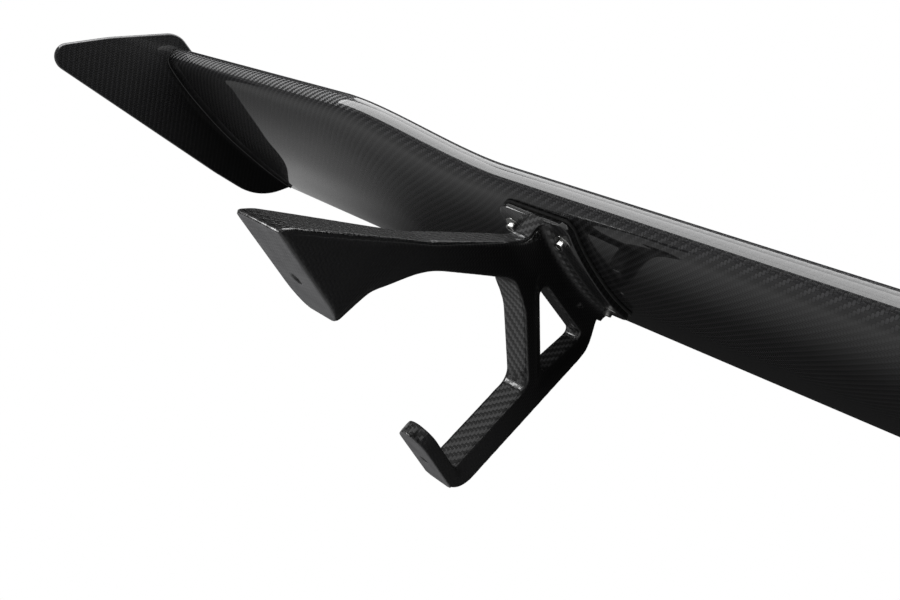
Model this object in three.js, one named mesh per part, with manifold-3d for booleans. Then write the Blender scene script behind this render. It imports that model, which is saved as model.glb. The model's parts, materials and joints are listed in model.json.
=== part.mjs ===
// Racing rear wing: a hollow carbon blade between two end plates, carried by two
// uprights that are bolted to its underside. Millimetres, +Z up, +X along the span,
// +Y towards the trailing edge, soles of the feet on z = 0, symmetric about x = 0.
import * as THREE from 'three';
import { mergeVertices } from 'three/addons/utils/BufferGeometryUtils.js';
import Module from 'manifold-3d';

const wasm = await Module();
wasm.setup();

// ---- overall sizes ----
const HALF_SPAN = 830;          // centre to the inner face of an end plate
const UPRIGHT_X = 230;          // centre to the middle of an upright
const LEAD_Y = -39.1;           // leading edge crest above the uprights
const LEAD_Z = 225.5;
const CHORD_RUN = 241;          // crest to trailing edge, centre section
const CHORD_RISE = 46;

// ---- blade plan and twist ----
const BEND_START = 290;         // outer end of the straight centre section
const BEND_END = 490;           // inner end of the tapered outer section
const OUTER_FORWARD = 32;       // how far the outer leading edge steps forward
const OUTER_DROP = 15;          // how far the outer trailing edge steps down
const TIP_FORWARD = 26;
const TIP_TAIL = -13;
const TIP_DROP = 24;
const CENTRE_BELLY = 1.2;       // underside depth of the centre section over the outer one

// ---- blade build ----
const SKIN = 1.8;               // carbon skin
const BOND = 0.15;              // half of the bond line between the skins
const GAP = 0.3;                // clearance between pieces that lie on each other
const TAIL = 2.4;               // trailing edge thickness
const SPAR = 8;                 // spar width along the chord
const FRONT_SPAR_AT = 0.24;     // spar positions as fractions of the chord
const REAR_SPAR_AT = 0.72;
const RIB = 12;                 // tip rib thickness

// ---- end plates ----
const PLATE = 5;
const PLATE_SCREWS = [0.13, 0.33, 0.55];   // along the chord

// ---- upright ----
const FLANGE = 5.5;             // flange thickness
const GASKET = 2.5;
const FLANGE_HALF = 37;         // half the flange width
const FLANGE_SHIFT = 4;         // flange and screws sit this much outboard of the web
const FLANGE_FROM = 0.036;      // flange ends as fractions of the chord
const FLANGE_TO = 0.655;
const WEB_HALF = 13;            // half the thickness of web, strut and rear leg
const WEB_FILLET = 8;
const ARM_HALF = 16;            // half the thickness of the front arm
const SOLE_HALF = 24;           // half the width of the front sole, where the arm's sides spread
const TONGUE = 12.5;            // rear foot thickness
const FRONT_HOLE_Y = LEAD_Y - 116;   // foot bolt holes
const REAR_HOLE_Y = LEAD_Y + 106;
const FOOT_HOLE = 5.5;          // clears an M5 bolt

// ---- flange screws ----
const SCREW = 5;                // M5
const HEAD = 8.5;
const HEAD_HEIGHT = 5;
const WASHER = 15;
const WASHER_THICK = 1.2;
const SCREW_HALF = 26;          // half the screw spacing across the flange
const SCREWS_AT = [0.105, 0.565];
const NUT_PLATE = 5;

const TURN = 12;                // segments of a small round
const V2 = (x, y) => new THREE.Vector2(x, y);
const root = new THREE.Group();
root.name = 'racing_rear_wing';

const carbon = { color: 0x16171a, roughness: 0.25, metalness: 0.0 };
const foam = { color: 0xb9a46a, roughness: 0.9, metalness: 0.0 };
const rubber = { color: 0x1b1b1b, roughness: 0.8, metalness: 0.0 };
const steel = { color: 0xc4c6c8, roughness: 0.3, metalness: 1.0 };
const alloy = { color: 0x9a9da1, roughness: 0.45, metalness: 1.0 };

function put(name, geometry, look) {
  const mesh = new THREE.Mesh(geometry, new THREE.MeshStandardMaterial(look));
  mesh.name = name;
  root.add(mesh);
}

// ---- solids ----
function solid(geometry) {
  const g = geometry.clone();
  g.deleteAttribute('normal');
  if (g.attributes.uv) g.deleteAttribute('uv');
  const m = mergeVertices(g, 1e-4);
  return new wasm.Manifold(new wasm.Mesh({
    numProp: 3,
    vertProperties: new Float32Array(m.attributes.position.array),
    triVerts: new Uint32Array(m.index.array),
  }));
}

function geometryOf(body) {
  const mesh = body.getMesh();
  const g = new THREE.BufferGeometry();
  g.setAttribute('position', new THREE.BufferAttribute(new Float32Array(mesh.vertProperties), 3));
  g.setIndex(new THREE.BufferAttribute(new Uint32Array(mesh.triVerts), 1));
  g.computeVertexNormals();
  return g;
}

function cut(geometry, tools) {
  let body = solid(geometry);
  for (const t of tools) body = body.subtract(solid(t));
  return geometryOf(body);
}

function join(parts) {
  let body = solid(parts[0]);
  for (const p of parts.slice(1)) body = body.add(solid(p));
  return geometryOf(body);
}

// rings of 3-D points joined into one closed body; flat gives the 2-D outline of a ring
function loft(rings, flat) {
  const n = rings[0].length;
  const position = rings.flat().flatMap((p) => [p.x, p.y, p.z]);
  const index = [];
  const last = (rings.length - 1) * n;
  for (let r = 0; r < rings.length - 1; r += 1) {
    for (let i = 0; i < n; i += 1) {
      const j = (i + 1) % n;
      const a = r * n + i;
      const b = r * n + j;
      index.push(a, b, b + n, a, b + n, a + n);
    }
  }
  for (const t of capOf(flat(rings[0]))) index.push(t[2], t[1], t[0]);
  for (const t of capOf(flat(rings[rings.length - 1]))) index.push(last + t[0], last + t[1], last + t[2]);
  const g = new THREE.BufferGeometry();
  g.setAttribute('position', new THREE.Float32BufferAttribute(position, 3));
  g.setIndex(index);
  const body = solid(g);
  return body.volume() > 0 ? geometryOf(body) : geometryOf(solid(flip(g)));
}

// triangles filling a closed outline, wound the same way as the outline
function capOf(ring) {
  const way = Math.sign(THREE.ShapeUtils.area(ring));
  return THREE.ShapeUtils.triangulateShape(ring, []).map((t) => {
    const own = Math.sign(THREE.ShapeUtils.area(t.map((i) => ring[i])));
    return own === way ? t : [t[2], t[1], t[0]];
  });
}

function flip(g) {
  const a = g.index.array.slice();
  for (let i = 0; i < a.length; i += 3) [a[i], a[i + 1]] = [a[i + 1], a[i]];
  g.setIndex(new THREE.BufferAttribute(a, 1));
  return g;
}

// closed outline of [y, z, radius] corners as a shape with real arcs
function outline(corners, asPath) {
  const s = asPath ? new THREE.Path() : new THREE.Shape();
  const n = corners.length;
  corners.forEach(([y, z, r = 0], i) => {
    const c = V2(y, z);
    const toPrev = V2(...corners[(i + n - 1) % n]).sub(c).normalize();
    const toNext = V2(...corners[(i + 1) % n]).sub(c).normalize();
    const half = Math.acos(THREE.MathUtils.clamp(toPrev.dot(toNext), -1, 1)) / 2;
    if (r === 0 || half > 1.55) {
      if (i === 0) s.moveTo(y, z); else s.lineTo(y, z);
      return;
    }
    const reach = r / Math.tan(half);
    const from = c.clone().addScaledVector(toPrev, reach);
    const to = c.clone().addScaledVector(toNext, reach);
    const middle = toPrev.clone().add(toNext).normalize().multiplyScalar(r / Math.sin(half)).add(c);
    const a = Math.atan2(from.y - middle.y, from.x - middle.x);
    const b = Math.atan2(to.y - middle.y, to.x - middle.x);
    const turnsLeft = toPrev.x * toNext.y - toPrev.y * toNext.x < 0;
    if (i === 0) s.moveTo(from.x, from.y); else s.lineTo(from.x, from.y);
    s.absarc(middle.x, middle.y, r, a, b, !turnsLeft);
  });
  s.closePath();
  return s;
}

// a shape drawn in (y, z), given thickness along x from x0 to x1
function slab(shape, x0, x1, segments = 3) {
  const g = new THREE.ExtrudeGeometry(shape, { depth: x1 - x0, bevelEnabled: false, curveSegments: segments });
  g.applyMatrix4(new THREE.Matrix4().set(0, 0, 1, x0, 1, 0, 0, 0, 0, 1, 0, 0, 0, 0, 0, 1));
  return g;
}

// a straight round bar of the given radius from point a to point b
function bar(a, b, radius, segments = TURN) {
  const g = new THREE.CylinderGeometry(radius, radius, a.distanceTo(b), segments);
  const turn = new THREE.Quaternion().setFromUnitVectors(new THREE.Vector3(0, 1, 0), b.clone().sub(a).normalize());
  g.applyQuaternion(turn);
  const m = a.clone().add(b).multiplyScalar(0.5);
  return g.translate(m.x, m.y, m.z);
}

// ---- blade section ----
// lower and upper surface as [fraction of chord, height over chord] from nose to tail
const LOWER = [[0, 0], [0.005, -0.026], [0.021, -0.046], [0.066, -0.0595], [0.172, -0.0715], [0.332, -0.0775],
  [0.5, -0.0735], [0.685, -0.054], [0.85, -0.03], [1, 0]];
const UPPER = [[0, 0], [0.005, 0.022], [0.0345, 0.0508], [0.1, 0.062], [0.25, 0.052], [0.45, 0.029],
  [0.65, 0.009], [0.83, 0.002], [1, 0]];
const lowerCurve = new THREE.SplineCurve(LOWER.map(([a, b]) => V2(a, b)));
const upperCurve = new THREE.SplineCurve(UPPER.map(([a, b]) => V2(a, b)));
const CREST = V2(0.0345, 0.0508);
const STEPS = 17;

function smooth(t) {
  const u = THREE.MathUtils.clamp(t, 0, 1);
  return u * u * (3 - 2 * u);
}

// nose position, chord length, pitch and belly depth at a distance from the centre
function station(x) {
  const d = Math.abs(x);
  const s = smooth((d - BEND_START) / (BEND_END - BEND_START));
  const t = THREE.MathUtils.clamp((d - BEND_END) / (HALF_SPAN - BEND_END), 0, 1);
  const crest = V2(-s * (OUTER_FORWARD + (TIP_FORWARD - OUTER_FORWARD) * t), 0);
  const tail = V2(CHORD_RUN + s * 5 + t * (TIP_TAIL - 5), CHORD_RISE - s * OUTER_DROP - t * (TIP_DROP - OUTER_DROP));
  const reach = tail.clone().sub(crest);
  const chord = reach.length() / Math.hypot(1 - CREST.x, CREST.y);
  const pitch = reach.angle() + Math.atan2(CREST.y, 1 - CREST.x);
  const nose = tail.clone().sub(V2(Math.cos(pitch), Math.sin(pitch)).multiplyScalar(chord));
  return { x, nose, chord, pitch, belly: CENTRE_BELLY + (1 - CENTRE_BELLY) * s };
}

// section point in part coordinates, from chord coordinates in millimetres
function place(st, a, b) {
  const c = Math.cos(st.pitch);
  const s = Math.sin(st.pitch);
  return new THREE.Vector3(st.x, LEAD_Y + st.nose.x + a * c - b * s, LEAD_Z + st.nose.y + a * s + b * c);
}

// one surface of the section in chord millimetres, moved along its normal by offset (out is positive)
function surface(st, side, offset, from = 0, to = 1, steps = STEPS) {
  const curve = side < 0 ? lowerCurve : upperCurve;
  const points = [];
  for (let i = 0; i <= steps; i += 1) {
    const k = from + (to - from) * (i / steps);
    const p = curve.getPoint(k);
    const q = curve.getTangent(k);
    const belly = side < 0 ? st.belly : 1;
    const tail = side * TAIL * 0.5 * p.x;
    const t = V2(q.x, q.y * belly).normalize();
    const out = V2(t.y * side * -1, t.x * side);
    points.push(V2(p.x, p.y * belly).multiplyScalar(st.chord).add(V2(0, tail)).addScaledVector(out, offset));
  }
  return points;
}

// the curve parameter at which a surface reaches a fraction of the chord
function paramAt(side, fraction) {
  const curve = side < 0 ? lowerCurve : upperCurve;
  let low = 0;
  let high = 1;
  for (let i = 0; i < 30; i += 1) {
    const mid = (low + high) / 2;
    if (curve.getPoint(mid).x < fraction) low = mid; else high = mid;
  }
  return low;
}

function heightAt(st, side, fraction) {
  const k = paramAt(side, fraction);
  return surface(st, side, 0, k, k, 1)[0].y;
}

// skin outline: outer surface out to the tail, inner surface back to the nose
function skinRing(st, side) {
  const outer = surface(st, side, 0);
  const inner = surface(st, side, -1).map((p, i) => {
    const q = outer[i];
    const thick = heightAt(st, 1, Math.min(q.x / st.chord, 1)) - heightAt(st, -1, Math.min(q.x / st.chord, 1));
    const depth = q.x < 0.06 * st.chord ? SKIN : Math.min(SKIN, thick / 2 - BOND);
    return q.clone().addScaledVector(p.clone().sub(q), depth);
  });
  outer[0].set(0, side * BOND);
  inner[0].set(SKIN, side * BOND);
  return [...outer, ...inner.reverse()].map((p) => place(st, p.x, p.y));
}

function xStations(limit) {
  const bend = [0, 0.2, 0.4, 0.6, 0.8, 1].map((k) => BEND_START + (BEND_END - BEND_START) * k);
  const half = [...bend, limit];
  return [...half.map((x) => -x).reverse(), ...half];
}

const flatYZ = (ring) => ring.map((p) => V2(p.y, p.z));
const centre = station(0);

// strip lying on the underside between two chord fractions, from offset d0 out to d1
function strip(from, to, d0, d1, steps = 8) {
  const a = paramAt(-1, from);
  const b = paramAt(-1, to);
  const near = surface(centre, -1, d0, a, b, steps);
  const far = surface(centre, -1, d1, a, b, steps).reverse();
  return [...near, ...far].map((p) => place(centre, p.x, p.y));
}

function stripSlab(from, to, d0, d1, x0, x1) {
  const ring = strip(from, to, d0, d1);
  return loft([x0, x1].map((x) => ring.map((p) => p.clone().setX(x))), flatYZ);
}

// foot of a flange screw on the underside and the outward direction there
function screwAxis(fraction, x) {
  const k = paramAt(-1, fraction);
  const [on, out] = [0, 1].map((d) => surface(centre, -1, d, k, k, 1)[0]);
  const a = place(centre, on.x, on.y).setX(x);
  const dir = place(centre, out.x, out.y).setX(x).sub(a).normalize();
  return { at: (d) => a.clone().addScaledVector(dir, d), dir };
}

const seat = GAP + GASKET + GAP;              // inner face of the flange, from the skin
const flangeOut = seat + FLANGE;
const spotFace = flangeOut - 0.7;             // flat turned into the curved flange for a washer
const screwPlaces = [];
for (const side of [-1, 1]) {
  for (const [i, fraction] of SCREWS_AT.entries()) {
    for (const across of [-1, 1]) {
      const names = [side < 0 ? 'left' : 'right', i === 0 ? 'front' : 'rear', across === side ? 'outer' : 'inner'];
      screwPlaces.push({
        name: names.join('_'),
        axis: screwAxis(fraction, side * (UPRIGHT_X + FLANGE_SHIFT) + across * SCREW_HALF),
      });
    }
  }
}

// ---- blade ----
const shankHoles = screwPlaces.map(({ axis }) => bar(axis.at(-SKIN - 3), axis.at(3), SCREW / 2 + GAP, TURN));
const skinEnd = HALF_SPAN - GAP;
for (const [name, side] of [['wing_lower_skin', -1], ['wing_upper_skin', 1]]) {
  const skin = loft(xStations(skinEnd).map((x) => skinRing(station(x), side)), flatYZ);
  put(name, side < 0 ? cut(skin, shankHoles) : skin, carbon);
}

for (const [name, at] of [['front_spar', FRONT_SPAR_AT], ['rear_spar', REAR_SPAR_AT]]) {
  const rings = xStations(HALF_SPAN - RIB - 3).map((x) => {
    const st = station(x);
    const a = at * st.chord;
    const inset = SKIN + GAP + 0.3;
    const edge = (p, side) => V2(p, heightAt(st, side, p / st.chord) - side * inset);
    return [edge(a, -1), edge(a + SPAR, -1), edge(a + SPAR, 1), edge(a, 1)].map((p) => place(st, p.x, p.y));
  });
  put(name, loft(rings, flatYZ), foam);
}

// tip ribs fill the blade behind the end plates
const ribFrom = 0.05;
const ribTo = 0.86;
for (const side of [-1, 1]) {
  const hand = side < 0 ? 'left' : 'right';
  const st = station(side * HALF_SPAN);
  const inset = -(SKIN + GAP + 0.2);
  const low = surface(st, -1, inset, paramAt(-1, ribFrom), paramAt(-1, ribTo), 9);
  const high = surface(st, 1, inset, paramAt(1, ribFrom), paramAt(1, ribTo), 9).reverse();
  const ring = [...low, ...high].map((p) => place(st, p.x, p.y));
  const xs = [side * (HALF_SPAN - RIB - 1), side * (HALF_SPAN - 1)];
  const holes = [];
  for (const [i, f] of PLATE_SCREWS.entries()) {
    const b = (heightAt(st, -1, f) + heightAt(st, 1, f)) / 2;
    const c = place(st, f * st.chord, b);
    const place3 = (d) => c.clone().setX(side * (HALF_SPAN + d));
    holes.push(bar(place3(-RIB + 1), place3(10), 2.0 + GAP, 10));
    const head = bar(place3(PLATE + GAP), place3(PLATE + GAP + 2.6), 4.6, TURN);
    const shank = bar(place3(-RIB + 2), place3(PLATE + GAP + 1), 2.0, 10);
    const key = bar(place3(PLATE + GAP + 1), place3(PLATE + 9), 1.5, 6);
    put(`end_plate_screw_${hand}_${['front', 'middle', 'rear'][i]}`, cut(join([head, shank]), [key]), steel);
  }
  put(`tip_rib_${hand}`, cut(loft(xs.map((x) => ring.map((p) => p.clone().setX(x))), flatYZ), holes), alloy);

  // end plate: deep in front of and under the nose, closing on the trailing edge
  const plate = outline([
    [LEAD_Y - 130, LEAD_Z - 148, 16], [LEAD_Y + 130, LEAD_Z - 59.5, 150], [LEAD_Y + 206, LEAD_Z - 30, 90],
    [LEAD_Y + 230, LEAD_Z + 27, 3], [LEAD_Y + 228, LEAD_Z + 31, 3], [LEAD_Y + 60, LEAD_Z + 12, 300],
    [LEAD_Y - 46, LEAD_Z + 6, 26], [LEAD_Y - 90, LEAD_Z - 68, 200],
  ]);
  const x0 = side < 0 ? -(HALF_SPAN + PLATE) : HALF_SPAN;
  put(`end_plate_${hand}`, cut(slab(plate, x0, x0 + PLATE, 4), holes), carbon);
}

// ---- uprights ----
const armTop = [[LEAD_Y - 70, LEAD_Z - 138, 0], [LEAD_Y - 160, LEAD_Z - 215, 4], [LEAD_Y - 169, 0, 2]];
const armUnder = [[LEAD_Y - 79, 0, 6], [LEAD_Y - 77, LEAD_Z - 194, 25], [LEAD_Y - 50, LEAD_Z - 153, 60]];
const profile = [
  [LEAD_Y + 46, LEAD_Z - 30, 0], [LEAD_Y + 6, LEAD_Z - 33, 0], [LEAD_Y + 8, LEAD_Z - 58, 13],
  ...armTop, ...armUnder,
  [LEAD_Y + 24, LEAD_Z - 86, 22], [LEAD_Y + 60, LEAD_Z - 88, 60],
  [LEAD_Y + 135, LEAD_Z - 116, 12], [LEAD_Y + 128, TONGUE, 12], [LEAD_Y + 68, TONGUE, 4],
  [LEAD_Y + 68, 0, 3], [LEAD_Y + 156, 0, 26], [LEAD_Y + 172, LEAD_Z - 40, 20],
  [LEAD_Y + 156, LEAD_Z - 14, 6],
];
const windowCut = [
  [LEAD_Y + 52, LEAD_Z - 59, 5], [LEAD_Y + 155, LEAD_Z - 38, 5], [LEAD_Y + 143, LEAD_Z - 95, 5],
];

// flange on the underside with a concave fillet down to the web on both sides
function flangeBody(x, shift) {
  const a = paramAt(-1, FLANGE_FROM);
  const b = paramAt(-1, FLANGE_TO);
  const r = WEB_FILLET;
  const half = [];
  for (let i = 0; i <= 3; i += 1) {
    const t = (i / 3) * (Math.PI / 2);
    half.push(V2(WEB_HALF + r - r * Math.sin(t), FLANGE + r - r * Math.cos(t)));
  }
  const edge = (way) => [V2(way * FLANGE_HALF + shift, 0), V2(way * FLANGE_HALF + shift, FLANGE)];
  const section = [...edge(1), ...half, ...[...edge(-1), ...half.map((p) => V2(-p.x, p.y))].reverse()];
  const steps = 8;
  const inner = surface(centre, -1, seat, a, b, steps);
  const outer = surface(centre, -1, seat + 1, a, b, steps);
  const rings = inner.map((p, i) => {
    const base = place(centre, p.x, p.y);
    const dir = place(centre, outer[i].x, outer[i].y).sub(base);
    return section.map((q) => base.clone().addScaledVector(dir, q.y).setX(x + q.x));
  });
  return loft(rings, () => section);
}

for (const side of [-1, 1]) {
  const hand = side < 0 ? 'left' : 'right';
  const x = side * UPRIGHT_X;
  const body = outline(profile);
  body.holes.push(outline(windowCut, true));
  const arm = slab(outline([
    [LEAD_Y - 20, LEAD_Z - 95, 0], ...armTop, ...armUnder, [LEAD_Y - 6, LEAD_Z - 113, 0],
  ]), -ARM_HALF, ARM_HALF, 3);
  const at = arm.attributes.position;
  for (let i = 0; i < at.count; i += 1) {
    const spread = 1 - THREE.MathUtils.smoothstep(at.getZ(i), 12, 70);
    at.setX(i, at.getX(i) * (1 + spread * (SOLE_HALF / ARM_HALF - 1)));
  }
  arm.translate(x, 0, 0);
  const joined = join([slab(body, x - WEB_HALF, x + WEB_HALF, 3), arm, flangeBody(x, side * FLANGE_SHIFT)]);
  const up = (y, z) => new THREE.Vector3(x, y, z);
  const holes = [FRONT_HOLE_Y, REAR_HOLE_Y].map((y) => bar(up(y, -5), up(y, 60), FOOT_HOLE / 2, TURN));
  const here = screwPlaces.filter(({ name }) => name.startsWith(hand));
  const shanks = here.map(({ axis }) => bar(axis.at(seat - 2), axis.at(flangeOut + 2), SCREW / 2 + GAP));
  const spots = here.map(({ axis }) => bar(axis.at(spotFace), axis.at(spotFace + 16), WASHER / 2 + 0.8, 16));
  put(`upright_${hand}`, cut(joined, [...holes, ...shanks, ...spots]), carbon);

  const middle = x + side * FLANGE_SHIFT;
  const gasket = stripSlab(
    FLANGE_FROM - 0.004, FLANGE_TO + 0.012, GAP, GAP + GASKET, middle - FLANGE_HALF - 1, middle + FLANGE_HALF + 1,
  );
  const gasketHoles = here.map(({ axis }) => bar(axis.at(-2), axis.at(GASKET + 3), SCREW / 2 + GAP));
  put(`flange_gasket_${hand}`, cut(gasket, gasketHoles), rubber);

  for (const [i, fraction] of SCREWS_AT.entries()) {
    const inside = -(SKIN + GAP + 0.1);
    const nut = stripSlab(fraction - 0.03, fraction + 0.03, inside - NUT_PLATE, inside, middle - 36, middle + 36);
    const taps = here.map(({ axis }) => bar(axis.at(-SKIN - 12), axis.at(2), SCREW / 2 + 0.2));
    put(`nut_plate_${hand}_${i === 0 ? 'front' : 'rear'}`, cut(nut, taps), alloy);
  }
}

for (const { name, axis } of screwPlaces) {
  const rest = spotFace + GAP;
  const under = rest + WASHER_THICK + GAP;
  const washer = bar(axis.at(rest), axis.at(rest + WASHER_THICK), WASHER / 2, 16);
  const bore = bar(axis.at(rest - 2), axis.at(rest + 4), SCREW / 2 + GAP);
  put(`flange_washer_${name}`, cut(washer, [bore]), steel);
  const head = bar(axis.at(under), axis.at(under + HEAD_HEIGHT), HEAD / 2, 16);
  const shank = bar(axis.at(-SKIN - NUT_PLATE - 1), axis.at(under + 1), SCREW / 2);
  const key = bar(axis.at(under + HEAD_HEIGHT - 2.6), axis.at(under + HEAD_HEIGHT + 2), 2.3, 6);
  put(`flange_screw_${name}`, cut(join([head, shank]), [key]), steel);
}

export default root;
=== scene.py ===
import json
import math

import bmesh
import bpy
import numpy as np
from mathutils import Matrix, Vector

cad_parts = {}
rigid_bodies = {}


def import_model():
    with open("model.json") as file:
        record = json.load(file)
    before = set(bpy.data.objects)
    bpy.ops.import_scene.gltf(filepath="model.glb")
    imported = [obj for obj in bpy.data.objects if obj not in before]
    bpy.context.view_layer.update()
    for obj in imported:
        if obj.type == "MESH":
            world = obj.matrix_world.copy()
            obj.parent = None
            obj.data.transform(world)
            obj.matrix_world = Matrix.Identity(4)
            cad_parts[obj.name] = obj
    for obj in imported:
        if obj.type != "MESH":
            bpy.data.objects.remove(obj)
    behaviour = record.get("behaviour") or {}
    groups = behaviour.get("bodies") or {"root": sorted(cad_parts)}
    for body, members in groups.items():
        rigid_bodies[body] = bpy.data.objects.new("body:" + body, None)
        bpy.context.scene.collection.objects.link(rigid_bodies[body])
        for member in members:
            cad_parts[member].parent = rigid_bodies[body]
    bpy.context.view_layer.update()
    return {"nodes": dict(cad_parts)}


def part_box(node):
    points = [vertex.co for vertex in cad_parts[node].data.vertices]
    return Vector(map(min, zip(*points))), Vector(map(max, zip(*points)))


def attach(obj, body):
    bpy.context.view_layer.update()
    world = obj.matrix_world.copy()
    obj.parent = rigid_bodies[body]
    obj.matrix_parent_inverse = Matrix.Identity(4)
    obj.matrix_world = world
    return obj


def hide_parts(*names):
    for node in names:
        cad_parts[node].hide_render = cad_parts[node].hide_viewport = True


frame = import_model()
mm = 0.001

print("frame loaded")

# sizes of the blade; its half span comes from the frame
blade = {
    "halfSpan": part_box("end_plate_right")[0].x,
    "leadY": -39.1 * mm,  # crest of the nose above the uprights
    "leadZ": 225.5 * mm,
    "chordRun": 241 * mm,  # crest to trailing edge in the straight centre
    "chordRise": 46 * mm,
    "bendStart": 290 * mm,
    "bendEnd": 490 * mm,
    "outerForward": 32 * mm,
    "outerDrop": 15 * mm,
    "tipForward": 26 * mm,
    "outerTail": 5 * mm,
    "tipTail": -13 * mm,
    "tipDrop": 24 * mm,
    "centreBelly": 1.2,
    "tail": 2.4 * mm,
    "crest": (0.0345, 0.0508),
    # nose outwards, as fractions of the chord: underside, then top side
    "lower": [(0, 0), (0.005, -0.026), (0.021, -0.046), (0.066, -0.0595), (0.172, -0.0715),
              (0.332, -0.0775), (0.5, -0.0735), (0.685, -0.054), (0.85, -0.03), (1, 0)],
    "upper": [(0, 0), (0.005, 0.022), (0.0345, 0.0508), (0.1, 0.062), (0.25, 0.052),
              (0.45, 0.029), (0.65, 0.009), (0.83, 0.002), (1, 0)],
    "around": 64,  # points from nose to tail on each side
    "power": 1.9,  # packs those points towards the nose
    "tipGap": 0.3 * mm,  # to the end plate
    "roll": 0.7 * mm, "lip": 0.2 * mm, "lipDrop": 0.5 * mm,  # how the sheets roll over the trailing edge
    "pastBend": 30 * mm, "bendCount": 34,  # sections close together through the bend
    "beforeBend": 45 * mm, "innerCount": 5, "outerCount": 10,
    "sheet": 1.0 * mm,
    "noseEnd": 24,  # the nose wrap ends at this point, just behind the crest
}
uprightX = sum(c.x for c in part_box("upright_right")) / 2
yl, zl = blade["leadY"], blade["leadZ"]


# mesh helpers
def addMesh(name, verts, faces, smooth=True, uv=None):
    me = bpy.data.meshes.new(name)
    me.from_pydata([tuple(v) for v in verts], [], [tuple(f) for f in faces])
    me.update()
    me.polygons.foreach_set("use_smooth", [smooth] * len(me.polygons))
    if uv is not None:
        layer = me.uv_layers.new(name="cloth")
        index = np.empty(len(me.loops), np.int32)
        me.loops.foreach_get("vertex_index", index)
        layer.data.foreach_set("uv", np.asarray(uv, np.float32)[index].ravel())
    o = bpy.data.objects.new(name, me)
    bpy.context.collection.objects.link(o)
    return o


def finishPiece(o, material, nodes=()):
    if material is not None:
        o.data.materials.clear()
        o.data.materials.append(material)
    if nodes:
        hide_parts(*nodes)
    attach(o, "root")
    return o


# verts and faces of rings joined into a tube, with both ends closed by one face each
def ringSolid(rings, closeEnds=True):
    n = len(rings[0])
    verts = [p for r in rings for p in r]
    faces = []
    for r in range(len(rings) - 1):
        for i in range(n):
            j = (i + 1) % n
            faces.append((r * n + i, r * n + j, (r + 1) * n + j, (r + 1) * n + i))
    if closeEnds:
        faces.append(tuple(reversed(range(n))))
        faces.append(tuple((len(rings) - 1) * n + i for i in range(n)))
    return verts, faces


def outwardNormals(o):
    bm = bmesh.new()
    bm.from_mesh(o.data)
    bmesh.ops.recalc_face_normals(bm, faces=bm.faces)
    bm.to_mesh(o.data)
    bm.free()
    return o


# closed outline of (a, b, radius) corners as points, with arcs at the corners
def roundedOutline(corners, step=6):
    out = []
    n = len(corners)
    for i, (a, b, r) in enumerate(corners):
        c = np.array([a, b], float)
        p = np.array(corners[i - 1][:2], float) - c
        q = np.array(corners[(i + 1) % n][:2], float) - c
        p /= np.linalg.norm(p)
        q /= np.linalg.norm(q)
        half = math.acos(max(-1, min(1, float(p @ q)))) / 2
        if r == 0 or half > 1.55:
            out.append(c)
            continue
        start = c + p * (r / math.tan(half))
        middle = c + (p + q) / np.linalg.norm(p + q) * (r / math.sin(half))
        sweep = math.pi - 2 * half
        turn = -1 if p[0] * q[1] - p[1] * q[0] > 0 else 1
        count = max(2, int(math.degrees(sweep) / step))
        s = start - middle
        for k in range(count + 1):
            t = turn * sweep * k / count
            cosT, sinT = math.cos(t), math.sin(t)
            out.append(middle + np.array([s[0] * cosT - s[1] * sinT, s[0] * sinT + s[1] * cosT]))
    return out


# millimetre corners counted from the nose's crest, as a rounded outline in metres
def fromCrest(corners, step):
    return roundedOutline([(yl + a * mm, zl + b * mm, r * mm) for a, b, r in corners], step)


# smooth curve through points: natural cubic spline over the distance along them
class CubicCurve:
    def __init__(self, points):
        p = np.asarray(points, float)
        self.p = p
        self.t = np.concatenate([[0], np.cumsum(np.sqrt(np.hypot(*np.diff(p, axis=0).T)))])
        h = np.diff(self.t)
        n = len(p)
        a = np.eye(n)
        b = np.zeros((n, 2))
        for i in range(1, n - 1):
            a[i, i - 1:i + 2] = [h[i - 1], 2 * (h[i - 1] + h[i]), h[i]]
            b[i] = 6 * ((p[i + 1] - p[i]) / h[i] - (p[i] - p[i - 1]) / h[i - 1])
        self.m = np.linalg.solve(a, b)

    def at(self, t):
        t = np.atleast_1d(t)
        i = np.clip(np.searchsorted(self.t, t, side="right") - 1, 0, len(self.t) - 2)
        h = (self.t[i + 1] - self.t[i])[:, None]
        u = ((t - self.t[i])[:, None]) / h
        w = 1 - u
        bend = ((w ** 3 - w) * self.m[i] + (u ** 3 - u) * self.m[i + 1]) * h * h / 6
        return w * self.p[i] + u * self.p[i + 1] + bend


def smoothStep(t):
    t = np.clip(t, 0, 1)
    return t * t * (3 - 2 * t)


# blade section
section = CubicCurve(list(reversed(blade["lower"])) + blade["upper"][1:])
noseAt = section.t[len(blade["lower"]) - 1]


# nose point, chord, pitch and belly depth at a distance from the centre
def station(x):
    d = abs(x)
    s = float(smoothStep((d - blade["bendStart"]) / (blade["bendEnd"] - blade["bendStart"])))
    t = min(max((d - blade["bendEnd"]) / (blade["halfSpan"] - blade["bendEnd"]), 0), 1)
    crest = np.array([-s * (blade["outerForward"] + (blade["tipForward"] - blade["outerForward"]) * t), 0])
    tail = np.array([
        blade["chordRun"] + s * blade["outerTail"] + t * (blade["tipTail"] - blade["outerTail"]),
        blade["chordRise"] - s * blade["outerDrop"] - t * (blade["tipDrop"] - blade["outerDrop"]),
    ])
    reach = tail - crest
    cx, cy = blade["crest"]
    chord = np.linalg.norm(reach) / math.hypot(1 - cx, cy)
    pitch = math.atan2(reach[1], reach[0]) + math.atan2(cy, 1 - cx)
    nose = tail - chord * np.array([math.cos(pitch), math.sin(pitch)])
    return {"x": x, "nose": nose, "chord": chord, "pitch": pitch,
            "belly": blade["centreBelly"] + (1 - blade["centreBelly"]) * s}


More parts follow.
